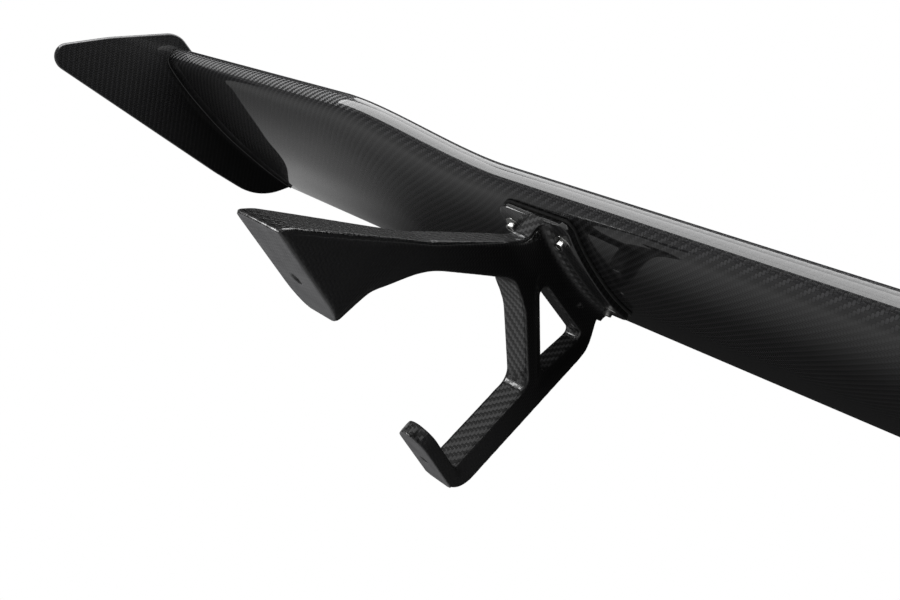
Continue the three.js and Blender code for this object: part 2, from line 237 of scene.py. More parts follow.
def placed(st, a, b):
    c, s = math.cos(st["pitch"]), math.sin(st["pitch"])
    return np.stack([np.full_like(a, st["x"]), yl + st["nose"][0] + a * c - b * s,
                     zl + st["nose"][1] + a * s + b * c], -1)


# points of one side from nose to tail, moved outwards by offset, in chord coordinates
def sidePoints(st, side, params, offset=0.0):
    p = section.at(params)
    q = section.at(params + 1e-4) - section.at(params - 1e-4)
    belly = np.where(p[:, 1] < 0, st["belly"], 1.0) if side < 0 else 1.0
    x, y = p[:, 0], p[:, 1] * belly
    tx, ty = q[:, 0], q[:, 1] * belly
    long = np.hypot(tx, ty)
    nx, ny = -ty / long, tx / long  # section runs tail, underside, nose, top side, tail
    return (x * st["chord"] + nx * offset,
            y * st["chord"] + side * blade["tail"] / 2 * x + ny * offset)


def sideParams(side, count):
    u = np.linspace(0, 1, count) ** blade["power"]
    last = section.t[-1] if side > 0 else section.t[0]
    return noseAt + (last - noseAt) * u


# distances from the centre, closer together through the bend
def spanStations():
    past = blade["pastBend"]
    bend = np.linspace(blade["bendStart"] - past, blade["bendEnd"] + past, blade["bendCount"])
    inner = np.linspace(0, blade["bendStart"] - blade["beforeBend"], blade["innerCount"])[1:]
    outer = np.linspace(bend[-1], blade["halfSpan"] - blade["tipGap"], blade["outerCount"])[1:]
    half = [*inner, *bend, *outer]
    return [-x for x in reversed(half)] + [0.0] + half


# one sheet of skin, from point first to point last of its side
def makeSkin(name, side, material, nodes, first=0, last=None):
    params = sideParams(side, blade["around"])
    last = len(params) + 2 if last is None else last
    rows, cloth = [], []
    for x in spanStations():
        st = station(x)
        a, b = sidePoints(st, side, params)
        roll = blade["roll"]
        a = np.append(a, [a[-1] + roll, a[-1] + roll + blade["lip"]])
        b = np.append(b, [b[-1] - side * blade["lipDrop"], 0.0])
        pts = placed(st, a, b)
        run = np.concatenate([[0], np.cumsum(np.linalg.norm(np.diff(pts, axis=0), axis=1))])
        rows.append(pts[first:last])
        cloth.append(np.stack([np.full_like(run, x), side * run], -1)[first:last])
    n = len(rows[0])
    verts = np.concatenate(rows)
    faces = []
    for r in range(len(rows) - 1):
        for i in range(n - 1):
            f = (r * n + i, r * n + i + 1, (r + 1) * n + i + 1, (r + 1) * n + i)
            faces.append(f if side < 0 else tuple(reversed(f)))
    o = addMesh(name, verts, faces, uv=np.concatenate(cloth))
    thick = o.modifiers.new("shell", "SOLIDIFY")
    thick.thickness = blade["sheet"]
    thick.offset = -1
    thick.use_even_offset = False
    return finishPiece(o, material, nodes)


# shader groups
def newGroup(name, inputs, outputs):
    g = bpy.data.node_groups.new(name, "ShaderNodeTree")
    for label, kind, value in inputs:
        s = g.interface.new_socket(label, in_out="INPUT", socket_type="NodeSocket" + kind)
        if value is not None:
            s.default_value = value
    for label, kind in outputs:
        g.interface.new_socket(label, in_out="OUTPUT", socket_type="NodeSocket" + kind)
    return g, g.nodes.new("NodeGroupInput"), g.nodes.new("NodeGroupOutput")


def mathNode(tree, op, a, b=None, c=None, clamp=False):
    n = tree.nodes.new("ShaderNodeMath")
    n.operation = op
    n.use_clamp = clamp
    for i, v in enumerate((a, b, c)):
        if v is None:
            continue
        if isinstance(v, (int, float)):
            n.inputs[i].default_value = v
        else:
            tree.links.new(v, n.inputs[i])
    return n.outputs[0]


def ramp(tree, value, a, b, low=0.0, high=1.0):
    n = tree.nodes.new("ShaderNodeMapRange")
    n.interpolation_type = "SMOOTHSTEP"
    tree.links.new(value, n.inputs[0])
    for i, v in enumerate((a, b, low, high)):
        n.inputs[i + 1].default_value = v
    return n.outputs[0]


def mixColour(tree, factor, a, b):
    n = tree.nodes.new("ShaderNodeMix")
    n.data_type = "RGBA"
    for socket, v in ((n.inputs[0], factor), (n.inputs[6], a), (n.inputs[7], b)):
        if isinstance(v, (int, float)):
            socket.default_value = v
        elif isinstance(v, tuple):
            socket.default_value = (*v, 1)
        else:
            tree.links.new(v, socket)
    return n.outputs[2]


# 2x2 twill cloth: which tow is on top, and how high it stands
def makeTwill():
    g, gin, gout = newGroup(
        "twillCloth",
        [("Across", "Float", 0.0), ("Along", "Float", 0.0), ("Tow Width", "Float", 2 * mm)],
        [("Height", "Float"), ("Warp", "Float"), ("Fibre", "Float")],
    )

    def calc(*given):
        return mathNode(g, *given)

    # flattened arch over one tow, 0 at its edges and 1 in its middle
    def arch(part):
        fromMiddle = calc("ABSOLUTE", calc("SUBTRACT", calc("MULTIPLY", part, 2.0), 1.0))
        return calc("SUBTRACT", 1.0, calc("POWER", fromMiddle, 2.2))

    u = calc("DIVIDE", gin.outputs[0], gin.outputs[2])
    v = calc("DIVIDE", gin.outputs[1], gin.outputs[2])
    i, j = calc("FLOOR", u), calc("FLOOR", v)
    fu, fv = calc("SUBTRACT", u, i), calc("SUBTRACT", v, j)
    phase = calc("FLOORED_MODULO", calc("SUBTRACT", i, j), 4.0)
    warp = calc("LESS_THAN", phase, 1.5)
    roundU, roundV = arch(fu), arch(fv)
    # place along the two-tow float, 0 to 1
    floatWarp = calc("DIVIDE", calc("ADD", calc("SUBTRACT", 1.0, calc("MINIMUM", phase, 1.0)), fv), 2.0)
    floatWeft = calc("DIVIDE", calc("ADD", calc("SUBTRACT", phase, 2.0), fu), 2.0)
    crownWarp = calc("SINE", calc("MULTIPLY", floatWarp, math.pi))
    crownWeft = calc("SINE", calc("MULTIPLY", floatWeft, math.pi))
    highWarp = calc("MULTIPLY", roundU, crownWarp)
    highWeft = calc("MULTIPLY", roundV, crownWeft)
    mix = g.nodes.new("ShaderNodeMix")
    g.links.new(warp, mix.inputs[0])
    g.links.new(highWeft, mix.inputs[2])
    g.links.new(highWarp, mix.inputs[3])
    g.links.new(mix.outputs[0], gout.inputs[0])
    g.links.new(warp, gout.inputs[1])
    side = g.nodes.new("ShaderNodeMix")
    g.links.new(warp, side.inputs[0])
    g.links.new(fv, side.inputs[2])
    g.links.new(fu, side.inputs[3])
    fine = calc("FRACT", calc("MULTIPLY", side.outputs[0], 7.0))
    g.links.new(fine, gout.inputs[2])
    return g


# slow uneven tint: dust film, handling marks and resin depth
def makeBlotch():
    g, gin, gout = newGroup(
        "unevenFilm",
        [("Size", "Float", 20.0), ("Low", "Float", 0.0), ("High", "Float", 1.0)],
        [("Value", "Float")],
    )
    co = g.nodes.new("ShaderNodeTexCoord")
    noise = g.nodes.new("ShaderNodeTexNoise")
    noise.inputs["Detail"].default_value = 5
    g.links.new(co.outputs["Object"], noise.inputs["Vector"])
    g.links.new(gin.outputs[0], noise.inputs["Scale"])
    spread = g.nodes.new("ShaderNodeMapRange")
    g.links.new(noise.outputs[0], spread.inputs[0])
    spread.inputs[1].default_value = 0.3
    spread.inputs[2].default_value = 0.7
    g.links.new(gin.outputs[1], spread.inputs[3])
    g.links.new(gin.outputs[2], spread.inputs[4])
    g.links.new(spread.outputs[0], gout.inputs[0])
    return g


twill = makeTwill()
blotch = makeBlotch()


def newMaterial(name):
    m = bpy.data.materials.new(name)
    m.use_nodes = True
    return m, m.node_tree, m.node_tree.nodes["Principled BSDF"]


def useGroup(tree, group, **values):
    n = tree.nodes.new("ShaderNodeGroup")
    n.node_tree = group
    for k, v in values.items():
        s = n.inputs[k.replace("_", " ")]
        if isinstance(v, (int, float)):
            s.default_value = v
        else:
            tree.links.new(v, s)
    return n


# clear-coated carbon; across and along give the cloth's own directions in metres
def makeCarbon(name, look, across, along):
    m, tree, bsdf = newMaterial(name)
    a, b = across(tree), along(tree)
    cloth = useGroup(tree, twill, Across=a, Along=b, Tow_Width=look["tow"])
    film = useGroup(tree, blotch, Size=look["filmSize"], Low=0.0, High=1.0)
    dark = mixColour(tree, cloth.outputs["Warp"], look["weft"], look["warp"])
    if "strip" in look:  # painted light: tows in a band round the nose take their own tints, darker near the centre and much lighter outboard, a painted sheen of lit twill
        shifted = mathNode(tree, "ADD", b, look["strip"] * look["stripShift"])
        width = mathNode(tree, "ABSOLUTE", shifted)
        onPaintedBand = mathNode(tree, "LESS_THAN", width, look["strip"])
        outboard = ramp(tree, mathNode(tree, "ABSOLUTE", a), look["tipFrom"], look["tipTo"])
        bandShadeAndSheen = mixColour(tree, outboard, look["stripWarp"], look["noseBandSheen"])
        wrap = mixColour(tree, cloth.outputs["Warp"], look["weft"], bandShadeAndSheen)
        dark = mixColour(tree, onPaintedBand, dark, wrap)
    line = mathNode(tree, "MULTIPLY", cloth.outputs["Fibre"], look["fibre"])
    shade = mixColour(tree, line, dark, look["fibreTint"])
    gapMask = mathNode(tree, "LESS_THAN", cloth.outputs["Height"], look["gapBelow"])
    shade = mixColour(tree, gapMask, shade, look["gapTint"])
    tree.links.new(shade, bsdf.inputs["Base Color"])
    bump = tree.nodes.new("ShaderNodeBump")
    bump.inputs["Strength"].default_value = look["relief"]
    bump.inputs["Distance"].default_value = look["towHigh"]
    tree.links.new(cloth.outputs["Height"], bump.inputs["Height"])
    tree.links.new(bump.outputs[0], bsdf.inputs["Normal"])
    rough = mathNode(tree, "MULTIPLY_ADD", film.outputs[0], look["roughSpread"], look["rough"])
    tree.links.new(rough, bsdf.inputs["Roughness"])
    bsdf.inputs["Metallic"].default_value = look["metal"]
    bsdf.inputs["Specular IOR Level"].default_value = look["specular"]
    bsdf.inputs["Coat Weight"].default_value = 1.0
    if "coatDip" in look:  # the coat lies thinner over the weft
        dip = look["coatDip"]
        thinner = mathNode(tree, "MULTIPLY_ADD", cloth.outputs["Warp"], dip, 1.0 - dip)
        tree.links.new(thinner, bsdf.inputs["Coat Weight"])
    bsdf.inputs["Coat Roughness"].default_value = look["coatRough"]
    bsdf.inputs["Coat IOR"].default_value = 1.5
    return m, tree, bsdf


def uvPart(index):
    def read(tree):
        n = tree.nodes.new("ShaderNodeUVMap")
        n.uv_map = "cloth"
        s = tree.nodes.new("ShaderNodeSeparateXYZ")
        tree.links.new(n.outputs[0], s.inputs[0])
        return s.outputs[index]
    return read


carbonLook = {
    "tow": 2.05 * mm, "weft": (0.008, 0.008, 0.0085), "warp": (0.024, 0.024, 0.025),
    "fibre": 0.25, "fibreTint": (0.004, 0.004, 0.005),
    "gapBelow": 0.16, "gapTint": (0.002, 0.002, 0.002),  # resin between the tows
    "towHigh": 0.25 * mm, "relief": 0.5,
    "rough": 0.34, "roughSpread": 0.08, "metal": 0.0, "specular": 0.3, "coatRough": 0.02, "filmSize": 9.0,
}
bladeLook = {
    **carbonLook, "relief": 0.35, "specular": 0.12,
    "strip": 6.5 * mm,  # half width of the band round the nose with the painted tints
    "stripShift": 0.1,
    # tints of the band's warp tows: a darker one near the centre, a painted sheen outboard
    "stripWarp": (0.014, 0.014, 0.0145),
    "noseBandSheen": (0.13, 0.13, 0.132),
    "tipFrom": 0.44, "tipTo": 0.5,  # distance from the centre at which the band's painted sheen turns brighter
}
carbonBlade, _, _ = makeCarbon("carbonBlade", bladeLook, uvPart(0), uvPart(1))

print("materials ready")

# the upper skin is two pieces that meet behind the crest
makeSkin("bladeUnderside", -1, carbonBlade, ["wing_lower_skin"])
makeSkin("bladeNose", 1, carbonBlade, ["wing_upper_skin"], last=blade["noseEnd"] + 1)
makeSkin("topSheet", 1, carbonBlade, (), first=blade["noseEnd"])
print("blade skins made")

# end plates
endPlate = {
    "thick": 5 * mm,
    "edge": 1.9 * mm,
    "outline": [(-130, -148, 16), (130, -59.5, 150), (206, -30, 90), (230, 27, 3), (228, 31, 3),
                (60, 12, 300), (-46, 6, 26), (-90, -68, 200)],
}


def makeEndPlate(hand, side):
    flat = fromCrest(endPlate["outline"], 4)
    x0 = side * blade["halfSpan"]
    x1 = side * (blade["halfSpan"] + endPlate["thick"])
    inset = endPlate["edge"]
    pts = np.array(flat)
    # rounded rim: the outline drawn in by a quarter circle at both faces
    nxt, prv = np.roll(pts, -1, 0), np.roll(pts, 1, 0)
    tangent = nxt - prv
    tangent /= np.linalg.norm(tangent, axis=1)[:, None]
    inward = np.stack([-tangent[:, 1], tangent[:, 0]], -1)
    area = np.sum(pts[:, 0] * nxt[:, 1] - nxt[:, 0] * pts[:, 1])
    inward *= 1 if area > 0 else -1
    turns = np.linspace(0, math.pi / 2, 6)
    rim = [(side * inset * (1 - math.cos(t)), inset * (1 - math.sin(t))) for t in turns]
    rings = [(x0 + deep, d) for deep, d in rim]
    rings += [(x1 - deep, d) for deep, d in reversed(rim)]
    verts, faces = ringSolid([[(x, a, b) for a, b in pts + inward * d] for x, d in rings])
    o = addMesh("endPlate" + hand.capitalize(), verts, faces, uv=[(-v[1], v[2]) for v in verts])
    outwardNormals(o)
    for p in o.data.polygons:
        if len(p.vertices) > 4:
            p.use_smooth = False
    return finishPiece(o, shadedCarbonPlate, ["end_plate_" + hand])


# painted shade: the end plates take a darker copy of the carbon tints, standing in for the shade on their
# faces
shadedPlateLook = {**carbonLook, "warp": (0.011, 0.011, 0.0115), "weft": (0.005, 0.005, 0.0052)}
shadedCarbonPlate, _, _ = makeCarbon("shadedCarbonPlate", shadedPlateLook, uvPart(0), uvPart(1))
for hand, side in (("left", -1), ("right", 1)):
    makeEndPlate(hand, side)


# thin bead of resin where the blade's underside meets the end plate; its tint, paler than the carbon, is
# partly a painted highlight along the crease
bead = {"radius": 0.9 * mm, "inboard": 0.2 * mm, "proud": 0.3 * mm, "along": 70, "around": 10}


def makeBead(hand, side):
    x = side * (blade["halfSpan"] - bead["inboard"])
    st = station(x)
    a, b = sidePoints(st, -1, sideParams(-1, bead["along"]), bead["proud"])
    path = placed(st, a, b)
    path[:, 0] = x
    along = np.gradient(path, axis=0)
    along /= np.linalg.norm(along, axis=1)[:, None]
    out = np.cross(along, (1, 0, 0))
    turns = np.arange(bead["around"]) * 2 * math.pi / bead["around"]
    r = bead["radius"]
    across = np.array([1.0, 0, 0])
    rings = [[p + across * math.cos(t) * r + q * math.sin(t) * r for t in turns] for p, q in zip(path, out)]
    o = outwardNormals(addMesh("bead" + hand.capitalize(), *ringSolid(rings)))
    return finishPiece(o, resinAndHighlight)


# one colour that wanders between two tints, with a plain roughness
def makeTinted(name, size, low, high, rough):
    m, tree, bsdf = newMaterial(name)
    film = useGroup(tree, blotch, Size=size, Low=0.0, High=1.0)
    tree.links.new(mixColour(tree, film.outputs[0], low, high), bsdf.inputs["Base Color"])
    bsdf.inputs["Roughness"].default_value = rough
    return m


# pale tint: partly the resin's own colour, partly a painted highlight of the crease
resinAndHighlight = makeTinted("resinBeadHighlight", 90.0, (0.03, 0.03, 0.031), (0.06, 0.06, 0.062), 0.35)
for hand, side in (("left", -1), ("right", 1)):
    makeBead(hand, side)
print("end plates made")

# uprights
upright = {
    "half": 13.0,  # half thickness of web, strut and leg
    "armHalf": 15.5,
    "footHalf": 24.0,
    "flare": 80.0,  # height over which the arm widens to its foot
    "armOver": 60.0,  # length over which the arm reaches its own thickness
    "planFrom": 106.0, "planOver": 28.0, "planNarrow": 0.5, "planPower": 2.5,  # foot corners in plan
    "voxel": 1.0, "slabVoxel": 1.2,
    # web front, arm, front foot, underside of the arm, strut, leg and the rear edge
    "profile": [(90, -18.5, 0), (46, -28.5, 0), (5, -33, 2), (8, -58, 18), (-70, -138, 0),
                (-160, -215, 4), (-169, -225.5, 2), (-79, -225.5, 6), (-77, -194, 25),
                (-55, -151, 90), (24, -86, 22), (60, -88, 60), (135, -116, 14), (128, -213, 8),
                (128, -225.5, 0), (157, -225.5, 24), (173, -38, 45), (150, 0, 3)],
    "window": [(52, -59, 5), (155, -38, 5), (143, -95, 5)],
    "tongueTip": 83.0, "tongueHalf": 15.5, "tongueThick": 13.0, "tongueEnd": 140.0,
    "flangeHalf": 37.0, "flangeShift": 4.0, "flangeThick": 5.5, "flangeCorner": 9.0,
    "flangeFrom": 0.036, "flangeTo": 0.655, "flangeEdge": 1.2,
    "padThick": 2.5, "padGap": 0.3, "padEdge": 0.4, "padSide": 1.0, "padFront": 0.004, "padRear": 0.012,
    "seat": 3.1, "webFillet": 10.0, "webHalf": 8.0,  # the web is thinner beside the flange
    "filletSunk": 1.5, "filletInset": 0.004,  # how deep in the flange it starts, and short of its ends
    "webFrom": 14.0, "webOver": 44.0,  # distance from the blade at which it thickens again
    "dipOver": 15.0, "dip": 0.8,  # both faces dip towards the window
    "holeFront": -116.0, "holeRear": 106.0, "hole": 2.75,
    "smoothing": 22,
    "soleBand": 1.0, "soleFlatten": 0.2,
}
centreSection = station(0.0)


def paramAt(fraction):
    a, b = section.t[0], noseAt
    for _ in range(40):
        c = (a + b) / 2
        if section.at(c)[0, 0] > fraction:
            a = c
        else:
            b = c
    return a


# underside points between two chord fractions, offset outwards, with outward directions
def underside(fromF, toF, offset, count):
    params = np.linspace(paramAt(fromF), paramAt(toF), count)
    a0, b0 = sidePoints(centreSection, -1, params, offset)
    a1, b1 = sidePoints(centreSection, -1, params, offset + 1 * mm)
    p0, p1 = placed(centreSection, a0, b0), placed(centreSection, a1, b1)
    return p0, (p1 - p0) / mm


# flat outline in (y, z), with holes, as a solid from x0 to x1
def prism(name, flat, x0, x1, holes=()):
    bm = bmesh.new()
    loops = [flat, *holes]
    edges = []
    for loop in loops:
        vs = [bm.verts.new((x0, a, b)) for a, b in loop]
        edges += [bm.edges.new((vs[i], vs[(i + 1) % len(vs)])) for i in range(len(vs))]
    bmesh.ops.triangle_fill(bm, edges=edges, use_beauty=True)
    out = bmesh.ops.extrude_face_region(bm, geom=bm.faces[:])
    moved = [v for v in out["geom"] if isinstance(v, bmesh.types.BMVert)]
    bmesh.ops.translate(bm, verts=moved, vec=(x1 - x0, 0, 0))
    bmesh.ops.recalc_face_normals(bm, faces=bm.faces)
    me = bpy.data.meshes.new(name)
    bm.to_mesh(me)
    bm.free()
    o = bpy.data.objects.new(name, me)
    bpy.context.collection.objects.link(o)
    return o


# the object with its modifiers made real
def applied(o):
    dg = bpy.context.evaluated_depsgraph_get()
    me = bpy.data.meshes.new_from_object(o.evaluated_get(dg))
    o.modifiers.clear()
    old = o.data
    o.data = me
    bpy.data.meshes.remove(old)
    return o


# several closed parts as one skin
def voxelUnion(name, parts, voxel):
    bm = bmesh.new()
    for p in parts:
        bm.from_mesh(p.data)
    me = bpy.data.meshes.new(name)
    bm.to_mesh(me)
    bm.free()
    for p in parts:
        bpy.data.objects.remove(p)
    o = bpy.data.objects.new(name, me)
    bpy.context.collection.objects.link(o)
    r = o.modifiers.new("voxel", "REMESH")
    r.mode = "VOXEL"
    r.voxel_size = voxel * mm
    return applied(o)


def makeUprightBody():
    u = upright
    h = u["half"] * mm
    slab = prism("slab", fromCrest(u["profile"], 5), -h, h, [fromCrest(u["window"], 5)])
    body = voxelUnion("uprightRough", [slab], u["slabVoxel"])
    co = np.empty(len(body.data.vertices) * 3, np.float32)
    body.data.vertices.foreach_get("co", co)
    co = co.reshape(-1, 3)
    low = smoothStep(1 - co[:, 2] / (u["flare"] * mm)) * (co[:, 1] < yl)
    foot = 1 + (u["footHalf"] / u["half"] - 1) * low
    arm = 1 + (u["armHalf"] / u["half"] - 1) * smoothStep((yl - co[:, 1]) / (u["armOver"] * mm)) * (1 - low)
    # foot corners round off in plan
    back = (co[:, 1] - (yl - u["planFrom"] * mm)) / (u["planOver"] * mm)
    back = np.clip(back, 0, 1) * (co[:, 1] < yl)
    plan = 1 - u["planNarrow"] * back ** u["planPower"] * low
    # the web thickens away from the flange into the strut and the arm
    belly = underside(0.0, 0.72, 0.0, 80)[0]
    gap = np.min([np.hypot(co[:, 1] - q[1], co[:, 2] - q[2]) for q in belly], axis=0)
    thin = 1 - smoothStep((gap - u["webFrom"] * mm) / (u["webOver"] * mm))
    rim = np.full(len(co), 1.0)
    corners = [np.array([yl + a * mm, zl + b * mm]) for a, b, _ in u["window"]]
    for p, q in zip(corners, corners[1:] + corners[:1]):
        t = np.clip((co[:, 1:] - p) @ (q - p) / ((q - p) @ (q - p)), 0, 1)
        rim = np.minimum(rim, np.linalg.norm(co[:, 1:] - p - t[:, None] * (q - p), axis=1))
    dip = u["dip"] * (1 - smoothStep(rim / (u["dipOver"] * mm)))
    co[:, 0] *= foot * arm * plan * (1 - (1 - u["webHalf"] / u["half"]) * np.maximum(thin, dip))
    body.data.vertices.foreach_set("co", co.ravel())
    body.data.update()
    # tongue of the rear foot, rounded in plan
    r = u["tongueHalf"] * mm
    tipY = yl + u["tongueTip"] * mm
    flat = [(r * math.cos(t), tipY + r * math.sin(t)) for t in np.linspace(math.pi, 2 * math.pi, 40)]
    flat += [(r, yl + u["tongueEnd"] * mm), (-r, yl + u["tongueEnd"] * mm)]
    tongue = prism("tongue", flat, 0, u["tongueThick"] * mm)
    turned = np.array([v.co for v in tongue.data.vertices])
    tongue.data.vertices.foreach_set("co", turned[:, [1, 2, 0]].ravel())
    outwardNormals(tongue)
    # fillet from web to flange
    inset = u["filletInset"]
    p, d = underside(u["flangeFrom"] + inset, u["flangeTo"] - inset, (u["seat"] + u["filletSunk"]) * mm, 60)
    rr = u["webFillet"] * mm
    t0 = (u["flangeThick"] - u["filletSunk"]) * mm
    w = u["webHalf"] * mm
    half = [(w + rr - rr * math.sin(k), t0 + rr - rr * math.cos(k)) for k in np.linspace(0, math.pi / 2, 9)]
    profile = [(w + rr, 0.0), *half, *[(-a, b) for a, b in reversed(half)], (-w - rr, 0.0)]
    rings = [[(a, q[1] + dd[1] * b, q[2] + dd[2] * b) for a, b in profile] for q, dd in zip(p, d)]
    fillet = outwardNormals(addMesh("fillet", *ringSolid(rings)))
    body = voxelUnion("uprightBody", [body, tongue, fillet], u["voxel"])
    for y in (u["holeFront"], u["holeRear"]):
        bpy.ops.mesh.primitive_cylinder_add(vertices=48, radius=u["hole"] * mm, depth=60 * mm,
                                            location=(0, yl + y * mm, 5 * mm))
        tool = bpy.context.object
        b = body.modifiers.new("hole", "BOOLEAN")
        b.operation = "DIFFERENCE"
        b.solver = "FAST"
        b.object = tool
        applied(body)
        bpy.data.objects.remove(tool)
    s = body.modifiers.new("smooth", "SMOOTH")
    s.factor = 0.5
    s.iterations = u["smoothing"]
    applied(body)
    # the soles stay flat and level with the floor
    co = np.empty(len(body.data.vertices) * 3, np.float32)
    body.data.vertices.foreach_get("co", co)
    co = co.reshape(-1, 3)
    nearFloor = co[:, 2] < u["soleBand"] * mm
    co[:, 2] = np.where(nearFloor, np.maximum(co[:, 2] * u["soleFlatten"], 0), co[:, 2])
    body.data.vertices.foreach_set("co", co.ravel())
    body.data.polygons.foreach_set("use_smooth", [True] * len(body.data.polygons))
    body.data.update()
    return body


# rounded bar section across a strip: half width, from inner to outer face, with small edge radii
def stripRing(half, thick, edge):
    pts = []
    x, high = half - edge, thick - edge
    for cx, cy, a0 in ((x, high, 0), (-x, high, 90), (-x, edge, 180), (x, edge, 270)):
        for k in range(4):
            t = math.radians(a0 + 30 * k)
            pts.append((cx + edge * math.cos(t), cy + edge * math.sin(t)))
    return pts


# curved plate on the underside; its plan has rounded corners
def curvedPlate(name, fromF, toF, seat, thick, half, corner, edge, x0):
    p, d = underside(fromF, toF, seat * mm, 60)
    run = np.concatenate([[0], np.cumsum(np.linalg.norm(np.diff(p, axis=0), axis=1))])
    rings = []
    # extra rings near both ends so that the corners are round
    c = corner * mm
    turns = np.linspace(0, math.pi / 2, 9)
    straight = np.linspace(c, run[-1] - c, 40)[1:-1]
    where = np.concatenate([c * (1 - np.cos(turns)), straight, run[-1] - c * (1 - np.cos(turns[::-1]))])
    for w in where:
        q = np.array([np.interp(w, run, p[:, i]) for i in range(3)])
        n = np.array([np.interp(w, run, d[:, i]) for i in range(3)])
        n /= np.linalg.norm(n)
        near = max(0.0, c - min(w, run[-1] - w))
        narrow = half * mm - c + math.sqrt(max(c ** 2 - near ** 2, 0))
        ring = stripRing(narrow, thick * mm, edge * mm)
        rings.append([(x0 + a, q[1] + n[1] * b, q[2] + n[2] * b) for a, b in ring])
    verts, faces = ringSolid(rings)
    # the cloth follows the plate's length
    runs = np.repeat(where, len(rings[0]))
    o = addMesh(name, verts, faces, uv=[(v[0], r) for v, r in zip(verts, runs)])
    outwardNormals(o)
    return o


# cloth directions for a solid shape: side faces take (y, z), the others (x, along the profile)
def solidPart(index):
    def read(tree):
        geo = tree.nodes.new("ShaderNodeNewGeometry")
        co = tree.nodes.new("ShaderNodeTexCoord")
        s = tree.nodes.new("ShaderNodeSeparateXYZ")
        tree.links.new(co.outputs["Object"], s.inputs[0])
        n = tree.nodes.new("ShaderNodeSeparateXYZ")
        tree.links.new(geo.outputs["Normal"], n.inputs[0])
        onSide = mathNode(tree, "GREATER_THAN", mathNode(tree, "ABSOLUTE", n.outputs[0]), 0.7)
        steep = mathNode(tree, "GREATER_THAN", mathNode(tree, "ABSOLUTE", n.outputs[1]), 0.72)
        alongFace = mathNode(tree, "ADD", mathNode(tree, "MULTIPLY", s.outputs[2], steep),
                             mathNode(tree, "MULTIPLY", s.outputs[1], mathNode(tree, "SUBTRACT", 1.0, steep)))
        side, other = (s.outputs[1], s.outputs[0]) if index == 0 else (s.outputs[2], alongFace)
        keep = mathNode(tree, "SUBTRACT", 1.0, onSide)
        sidePart = mathNode(tree, "MULTIPLY", side, onSide)
        return mathNode(tree, "ADD", sidePart, mathNode(tree, "MULTIPLY", other, keep))
    return read


uprightFinishAndShade = {
    "soleBelow": 0.6 * mm,  # the mould face stays bare up to this height
    "soleTints": ((0.14, 0.14, 0.145), (0.2, 0.2, 0.205)),
    "soleRough": 0.55,
    "sideFrom": 0.55, "sideTo": 0.85,  # how far a face must look sideways to take the painted shade
    # painted shade: faces that look sideways get a near-black tint, paler towards the foot
    "shadedSideTop": (0.005, 0.005, 0.0052),
    "shadedSideFoot": (0.04, 0.04, 0.041),
    "shadeFadeFrom": 150 * mm, "shadeFadeTo": 20 * mm,  # heights between which the painted shade on the sides turns paler
}


def makeUprightCarbon():
    finishAndShade = uprightFinishAndShade
    look = {**carbonLook, "tow": 2.5 * mm, "warp": (0.036, 0.036, 0.037), "weft": (0.004, 0.004, 0.0042),
            "relief": 0.9, "coatDip": 0.65}
    m, tree, bsdf = makeCarbon("carbonUpright", look, solidPart(0), solidPart(1))
    # bare soles: the satin mould face, no clear coat
    co = tree.nodes.new("ShaderNodeTexCoord")
    s = tree.nodes.new("ShaderNodeSeparateXYZ")
    tree.links.new(co.outputs["Object"], s.inputs[0])
    sole = mathNode(tree, "LESS_THAN", s.outputs[2], finishAndShade["soleBelow"])
    geo = tree.nodes.new("ShaderNodeNewGeometry")
    n = tree.nodes.new("ShaderNodeSeparateXYZ")
    tree.links.new(geo.outputs["Normal"], n.inputs[0])
    # painted shade on the faces that look sideways, picked by the direction of their normal
    sideways = mathNode(tree, "ABSOLUTE", n.outputs[0])
    onSide = ramp(tree, sideways, finishAndShade["sideFrom"], finishAndShade["sideTo"])
    colour = bsdf.inputs["Base Color"].links[0].from_socket
    sideShadeFade = ramp(tree, s.outputs[2], finishAndShade["shadeFadeFrom"], finishAndShade["shadeFadeTo"])
    paintedSideShade = mixColour(tree, sideShadeFade, finishAndShade["shadedSideTop"], finishAndShade["shadedSideFoot"])
    colour = mixColour(tree, onSide, colour, paintedSideShade)
    film = useGroup(tree, blotch, Size=60.0, Low=0.0, High=1.0)
    bare = mixColour(tree, film.outputs[0], *finishAndShade["soleTints"])
    tree.links.new(mixColour(tree, sole, colour, bare), bsdf.inputs["Base Color"])
    rough = bsdf.inputs["Roughness"].links[0].from_socket
    satin = mathNode(tree, "MULTIPLY", sole, finishAndShade["soleRough"])
    tree.links.new(mathNode(tree, "MAXIMUM", rough, satin), bsdf.inputs["Roughness"])
    coat = bsdf.inputs["Coat Weight"].links[0].from_socket
    coat = mathNode(tree, "MAXIMUM", coat, onSide)
    coated = mathNode(tree, "SUBTRACT", 1.0, sole)
    tree.links.new(mathNode(tree, "MULTIPLY", coat, coated), bsdf.inputs["Coat Weight"])
    return m


carbonUpright = makeUprightCarbon()
carbonFlange, _, _ = makeCarbon("carbonFlange", carbonLook, uvPart(0), uvPart(1))
body = makeUprightBody()
print("upright shaped:", len(body.data.polygons), "faces")

gasketRubber = makeTinted("gasketRubber", 120.0, (0.012, 0.012, 0.012), (0.03, 0.03, 0.03), 0.7)

